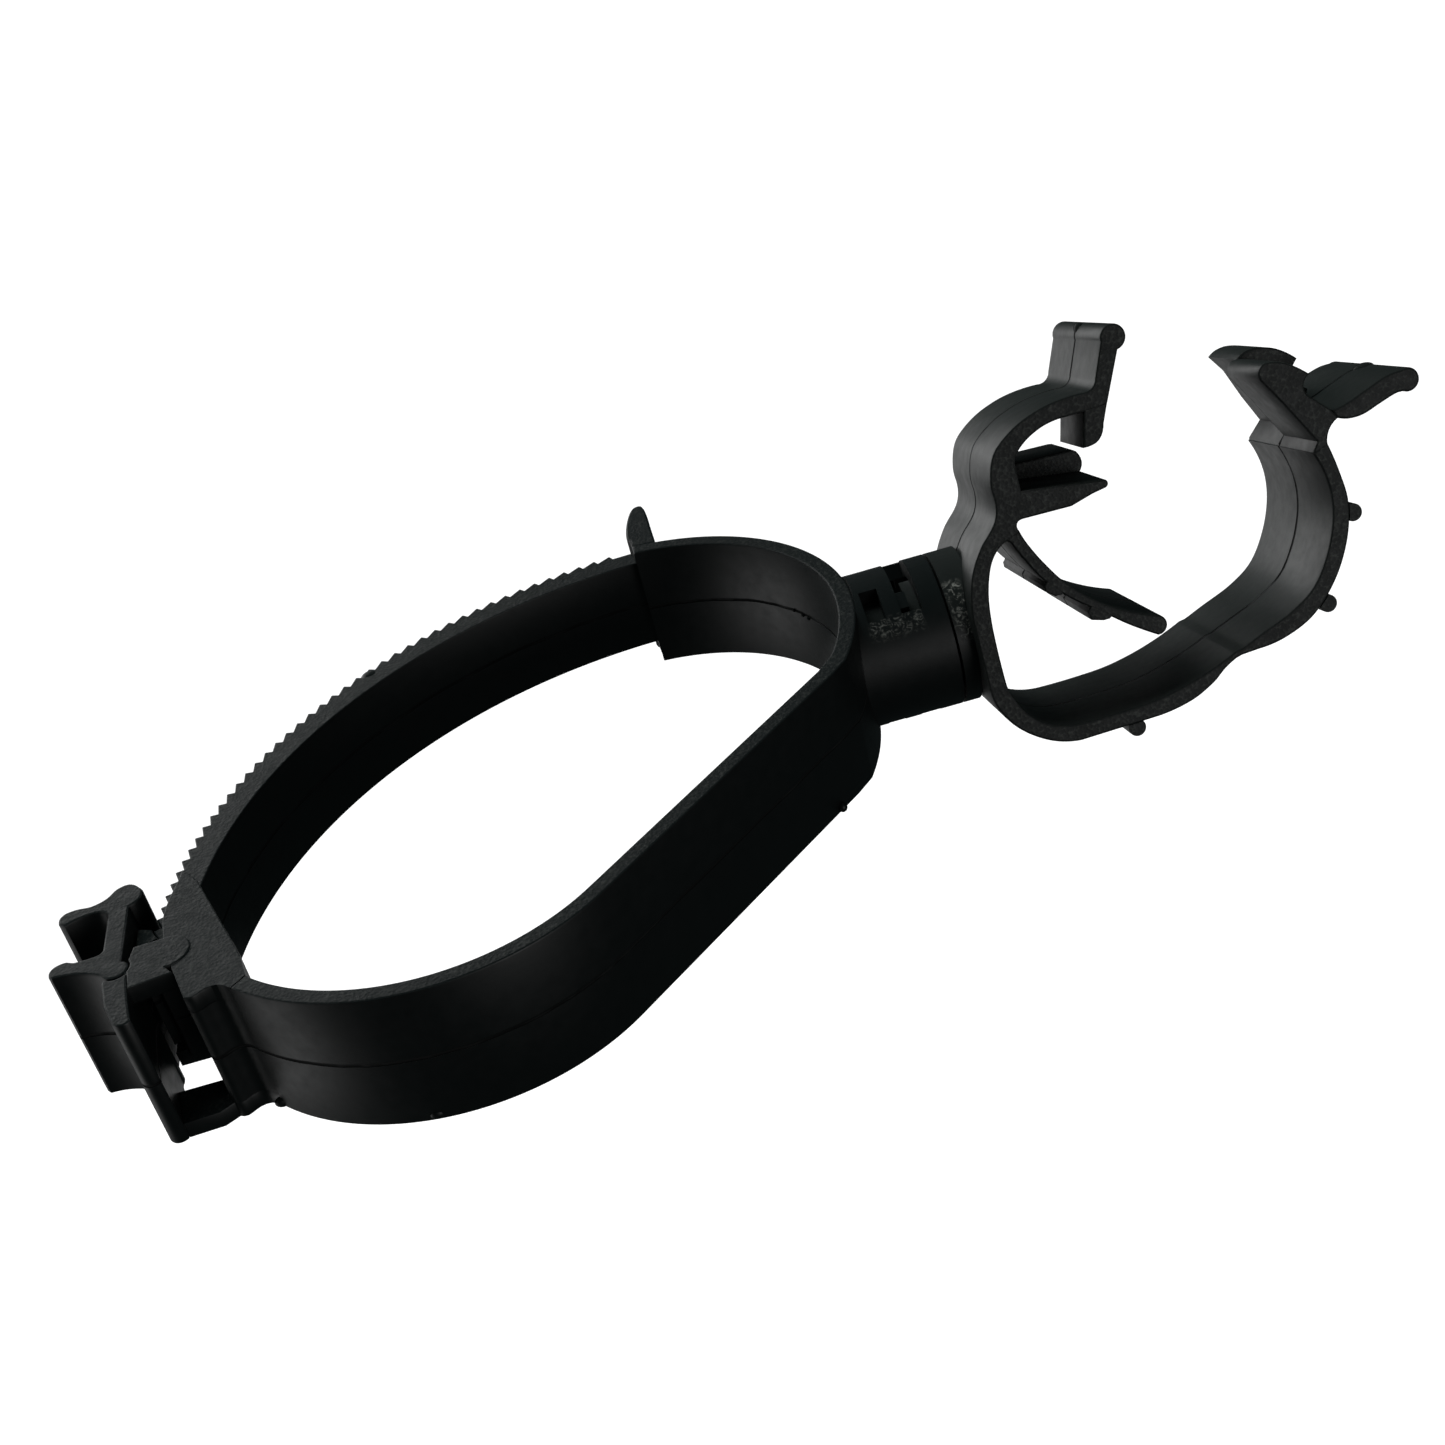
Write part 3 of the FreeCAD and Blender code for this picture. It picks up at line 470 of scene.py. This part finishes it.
bridge = pull("near_bridge_bar", outline(
    (-91.0, -29.75),
    [(-87.4, -29.6)],
    [(-84.9, -32.15), (-87.3, -34.7)],
    [(-86.5, -35.9)],
    [on_slot(SLOT_ROOF, -36.5)],
    [on_slot(SLOT_ROOF, -34.6)],
    [(-91.45, -33.6)],
    [(-91.15, -32.6), (-91.4, -31.7)],
), HALF_SLOT - 0.05, HALF_BAND + 0.12, "latch", loop_black, rim=0.2)
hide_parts("near_bridge")
wall = pull("head_outer_wall", outline(
    on_slot(SLOT_ROOF, -33.0),
    [on_slot(SLOT_ROOF, -38), on_slot(SLOT_ROOF, -41.6)],
    [(-91.2, -42.0), (-92.3, -41.2)],
    [(-93.4, -38.0)],
    [(-94.0, -34.2)],
    [(-93.8, -33.75)],
    [(-92.7, -34.15), (-91.6, -33.7)],
), -HALF_BAND, HALF_BAND, "latch", loop_black, rim=0.25)
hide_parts("outer_wall")

# ---------------------------------------------------------------- release lever and pawl
# A cross-shaped lever that the thumb presses: a plate at the top, a rounded arm at the left, and a
# web with the pawl on its inner face.  It rocks on the thin root that joins it to the head.
lever = pull("release_lever", outline(
    (-94.35, -22.4),
    [(-95.5, -21.6), (-97.2, -21.7), (-99.0, -22.4)],
    [(-99.8, -21.5), (-99.2, -20.0)],
    [(-98.0, -19.8), (-96.4, -20.0), (-94.9, -19.4), (-93.8, -18.1), (-92.5, -17.8), (-91.3, -18.9)],
    [(-90.8, -20.3), (-92.1, -22.0)],
    [(-92.1, -31.35)],
    [(-91.3, -32.5), (-92.7, -34.0)],
    [(-93.6, -33.7), (-94.15, -33.05)],
    [(-95.7, -32.0), (-97.6, -31.3), (-99.4, -31.1)],
    [(-99.87, -30.0), (-99.1, -28.95)],
    [(-98.1, -28.8), (-97.3, -29.25), (-94.9, -29.2), (-94.35, -28.7)],
), -HALF_BAND, HALF_BAND, "lever", loop_black, rim=0.28)
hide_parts("lever_web", "lever_arm", "thumb_plate")
PAWL_FACE, PAWL_TIP = 59.06, 58.2
PAWL_GAP = 42                           # the gap between teeth that the pawl's first tooth drops into
pawl_runs = []
for k in (PAWL_GAP, PAWL_GAP + 1):
    angle = FIRST_TOOTH + k * pitch
    for radius, along in ((PAWL_FACE, angle), (PAWL_TIP, angle + pitch - 0.55),
                          (PAWL_TIP, angle + pitch - 0.48), (PAWL_FACE, angle + pitch - 0.16)):
        pawl_runs.append([polar(TAIL, radius, along)])
pawl_runs.append([(-91.9, pawl_runs[-1][0].y - 0.5)])
pawl_top = polar(TAIL, PAWL_FACE, FIRST_TOOTH + PAWL_GAP * pitch - STEEP_FLANK)
pawl_runs.append([(-91.9, pawl_top.y + 0.8)])
pawl = pull("pawl_teeth", outline(pawl_top, *pawl_runs), -HALF_TAIL, HALF_TAIL, "lever", loop_black, rim=0.08)
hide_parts("pawl")

# ---------------------------------------------------------------- swivel socket
# A round cup moulded on the back of the saddle, with a window each side of a bar above and below.
# A small lug under each bar snaps into the groove of the clip's spigot.
socket_black = polyamide("black_polyamide_scuffed_cup", "#0A0E0E", "#0F1313", 0.44, (1, 0, 0), 0.0305, 0.05,
                         0.00022, scuffs=(40.9, 47.6, 128, 148, 0.35))
for name in ("swivel_socket", "snap_lugs"):
    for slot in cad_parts[name].material_slots:
        slot.material = socket_black

# ---------------------------------------------------------------- spigot and flange of the snap clip
# The round stud and collar on the back of the clip, of the same polyamide.  The stud is split so
# that it springs in as it is pushed into the socket.
clip_axis = (0, -math.sin(CLIP_TURN), math.cos(CLIP_TURN))
# The clip's grain tips carry stronger painted highlights than the loop's.
clip_black = polyamide("black_polyamide_clip", "#151817", "#1A1E1D", 0.44, clip_axis,
                       -SWIVEL.y / 1000 * math.sin(CLIP_TURN), 0.30, 0.0005)
flange_black = polyamide("black_polyamide_scuffed_flange", "#151817", "#1A1E1D", 0.44, (1, 0, 0),
                         0.0305, 0.05, 0.0005, scuffs=(50.2, 52.6, 113, 164, 0.55))
for name in ("swivel_flange", "swivel_spigot"):
    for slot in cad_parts[name].material_slots:
        slot.material = flange_black

# ---------------------------------------------------------------- shell of the snap clip
# Back, catch arm, lower jaw, living hinge and closing jaw are one strip of black polyamide, 22 mm
# wide and about 2 mm thick, moulded open.  It thins to 0.8 mm at the living hinge.
HALF_CLIP = 11.0
shell = pull("clip_shell", outline(
    (2.1, -6.0),
    [(2.1, 2.0)],
    [(3.0, 6.5), (4.7, 9.5), (7.0, 12.1), (7.55, 14.6)],
    [(7.6, 16.6), (8.5, 19.1), (10.2, 20.7), (12.6, 22.0), (15.8, 22.9), (19.6, 23.1)],
    [(20.7, 23.3), (21.3, 24.2)],
    [(22.75, 27.8)],
    [(25.23, 28.98), (24.45, 26.52)],
    [(22.1, 21.3)],
    [(21.2, 21.0)],
    [(17.2, 21.0)],
    [(15.1, 20.8), (13.2, 20.1), (11.7, 19.1), (10.9, 18.1), (10.7, 16.8)],
    [(10.7, 14.6)],
    [(17.2, 13.7)],
    [(19.8, 13.3)],
    [(20.2, 12.85), (19.8, 12.35)],
    [(18.3, 12.1)],
    [(15.7, 11.4)],
    [(10.2, 11.5)],
    [(9.6, 11.35), (9.35, 10.9), (9.5, 10.3)],
    [(8.6, 9.75)],
    [(7.2, 9.3), (5.9, 8.0), (5.0, 6.0), (4.4, 3.5), (4.1, 0.0), (4.1, -6.0)],
    [(4.5, -7.6), (5.6, -9.8), (7.6, -11.6), (11.0, -12.5)],
    [(16.0, -12.5), (20.4, -12.2), (25.3, -11.1), (29.9, -9.38)],
    [(30.6, -9.27)],
    [(31.2, -9.05)],
    [(33.0, -8.3), (37.0, -6.7), (40.0, -4.7), (42.3, -1.3), (43.7, 2.6), (43.9, 6.2), (42.9, 9.8)],
    [(44.8, 10.4)],
    [(45.5, 7.0), (45.8, 3.6), (44.9, -0.4), (42.7, -4.5), (39.5, -7.8), (36.0, -9.4), (32.6, -9.9)],
    [(30.6, -10.03)],
    [(29.9, -10.2)],
    [(28.4, -11.0), (26.8, -12.2), (24.0, -13.5), (20.0, -14.2)],
    [(10.8, -14.45)],
    [(7.6, -13.6), (4.6, -11.5), (2.7, -8.8), (2.1, -6.0)],
), -HALF_CLIP, HALF_CLIP, None, clip_black, rim=0.22, turned=True)
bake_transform(shell)
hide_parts("clip_back", "catch_arm", "catch_bead", "catch_tongue", "lower_jaw", "living_hinge",
            "closing_jaw")

# ---------------------------------------------------------------- stepped hooks
# Catch hook and tongue block, and the two hooks of the jaw, moulded on the shell.  Each fills one
# half of the width, in the half of the mould that makes it.
hook = pull("catch_hook_block", outline(
    (19.4, 21.3),
    [(22.1, 21.35)],
    [(21.2, 19.2)],
    [(20.7, 18.0), (19.9, 17.35), (18.4, 17.2)],
    [(18.7, 18.4)],
), 0, HALF_CLIP - 0.02, "swivel", clip_black, rim=0.2, turned=True)
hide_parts("catch_hook")
block = pull("tongue_stop_block", outline(
    (10.5, 14.3),
    [(17.2, 13.5)],
    [(19.8, 13.1)],
    [(20.4, 14.3), (20.0, 15.6), (19.2, 15.9)],
    [(10.5, 16.2)],
), -HALF_CLIP + 0.02, 0, "swivel", clip_black, rim=0.2, turned=True)
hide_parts("tongue_block")
hook_low = pull("jaw_hook_near", outline(
    (43.0, 9.6),
    [(43.0, 9.9)],
    [(43.7, 10.9)],
    [(40.8, 16.0)],
    [(39.0, 18.9)],
    [(38.9, 20.1), (39.9, 20.8)],
    [(41.4, 20.5), (42.8, 19.7), (44.4, 18.3)],
    [(43.5, 17.2), (44.2, 15.7)],
    [(45.9, 13.9)],
    [(46.5, 12.8)],
    [(45.3, 11.8), (44.8, 10.2)],
), 0, HALF_CLIP - 0.02, "jaw", clip_black, rim=0.2, turned=True)
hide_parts("hook_near")
hook_high = pull("jaw_hook_far", outline(
    (43.0, 9.6),
    [(43.1, 10.1)],
    [(44.8, 11.8)],
    [(43.2, 15.1)],
    [(41.7, 18.7)],
    [(40.3, 20.7)],
    [(41.4, 21.3), (42.9, 21.4), (45.0, 20.7), (47.1, 19.0)],
    [(46.3, 18.1)],
    [(46.6, 16.4), (47.6, 15.3)],
    [(46.5, 12.8)],
    [(45.3, 11.8), (44.8, 10.2)],
), -HALF_CLIP + 0.02, 0, "jaw", clip_black, rim=0.2, turned=True)
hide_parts("hook_far")

# ---------------------------------------------------------------- release tail
# The tail that opens the jaw: a thin tongue of the same polyamide, moulded on the closing jaw, with a
# rounded bead along its edge.
release = pull("release_tongue", outline(
    (46.3, 12.9),
    [(45.9, 13.9)],
    [(47.4, 14.1), (50.0, 15.0), (52.6, 15.9), (54.4, 16.05)],
    [(56.2, 14.8), (54.6, 13.5)],
    [(53.6, 13.7), (51.5, 13.1), (49.3, 12.4), (47.6, 12.4), (46.3, 12.9)],
), -HALF_CLIP, HALF_CLIP, "jaw", clip_black, rim=0.25, turned=True)
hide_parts("release_tail", "release_bead")

# ---------------------------------------------------------------- sprung finger
# A curved leaf moulded on the back of the clip.  It presses what the clip holds against the jaw, and
# two ribs on its underside stop it from folding.
finger = pull("sprung_leaf", outline(
    (9.4, 10.35),
    [(9.5, 10.3)],
    [(10.0, 8.8), (11.3, 6.2), (13.2, 3.3), (16.0, 0.5), (19.0, -1.5), (22.3, -3.0)],
    [(23.1, -4.3), (21.9, -5.2)],
    [(19.0, -3.2), (16.6, -1.2), (13.2, 1.6), (10.8, 4.3), (9.2, 7.2), (8.25, 9.3)],
    [(7.6, 9.9)],
), -HALF_CLIP + 0.03, HALF_CLIP - 0.03, None, clip_black, rim=0.2, turned=True)
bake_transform(finger)
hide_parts("spring_finger")
for n, rib in enumerate(([(11.4, 4.4), (10.7, 3.6), (10.7, 3.0), (11.7, 2.2), (12.4, 2.2), (13.1, 2.6)],
                         [(15.4, 0.2), (14.7, -0.5), (15.0, -1.5), (16.3, -1.9),
                          (17.0, -1.9), (17.6, -1.5)])):
    bar = pull("leaf_rib_%d" % n, outline(rib[0], *[[p] for p in rib[1:]]), -HALF_CLIP + 0.05,
               HALF_CLIP - 0.05, "finger",
               clip_black, rim=0.15, turned=True)
    if n == 0:
        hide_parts("finger_ribs")

# ---------------------------------------------------------------- outer ribs of the jaws
# Three small round ribs across the outside of the lower jaw and the closing jaw, moulded with them
# in the same polyamide.
for name in ("jaw_rib", "jaw_ribs"):
    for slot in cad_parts[name].material_slots:
        slot.material = clip_black

# ---------------------------------------------------------------- gate nubs and flash
# What the mould leaves: the stubs of the gates at mid-width on the clip, an ejector pad on the tail,
# and grains of flash on the far rim of the band.  They are trimmed by hand, so none is quite even.
def nub(name, place, size, body, material, turned=False):
    """A small rounded lump: its centre, and its three half sizes in mm."""
    bm = bmesh.new()
    bmesh.ops.create_uvsphere(bm, u_segments=20, v_segments=12, radius=1.0)
    bmesh.ops.scale(bm, verts=bm.verts, vec=size)
    bmesh.ops.translate(bm, verts=bm.verts, vec=place)
    if turned:
        bmesh.ops.rotate(bm, verts=bm.verts, cent=(0, 0, 0), matrix=Matrix.Rotation(CLIP_TURN, 3, "X"))
    bmesh.ops.translate(bm, verts=bm.verts, vec=(*SWIVEL, 0))
    bmesh.ops.scale(bm, verts=bm.verts, vec=(0.001, 0.001, 0.001))
    return finished(bm, name, body, material)


nub("gate_nub_catch_arm", (23.4, 28.95, 0.1), (0.6, 0.75, 0.65), "swivel", clip_black, True)
nub("gate_nub_release_tongue", (54.3, 15.85, 0.1), (1.3, 0.65, 0.9), "jaw", clip_black, True)
nub("ejector_pad_tail", (-66.35, 16.5, 5.0), (1.35, 1.25, 0.97), "strap", loop_black)
nub("flash_upper_band", (-14.3, 15.1, 7.3), (0.7, 0.6, 0.66), "strap", loop_black)
nub("flash_saddle_foot", (-17.33, -18.32, -7.4), (0.55, 0.6, 0.6), "strap", loop_black)
nub("flash_band_underside", (-64.86, -48.95, -7.4), (0.8, 0.5, 0.6), "latch", loop_black)
nub("flash_head_corner", (-80.6, -40.7, -7.4), (0.8, 0.5, 0.6), "latch", loop_black)
for n, (angle, tall) in enumerate(((33.0, 0.0), (29.0, -0.25), (26.5, -0.4))):
    grain_of_flash = polar(SHOULDER, 22.85, angle)
    nub("flash_inner_%d" % n, (grain_of_flash.x, grain_of_flash.y, tall), (0.22, 0.3, 0.2),
        "strap", loop_black)
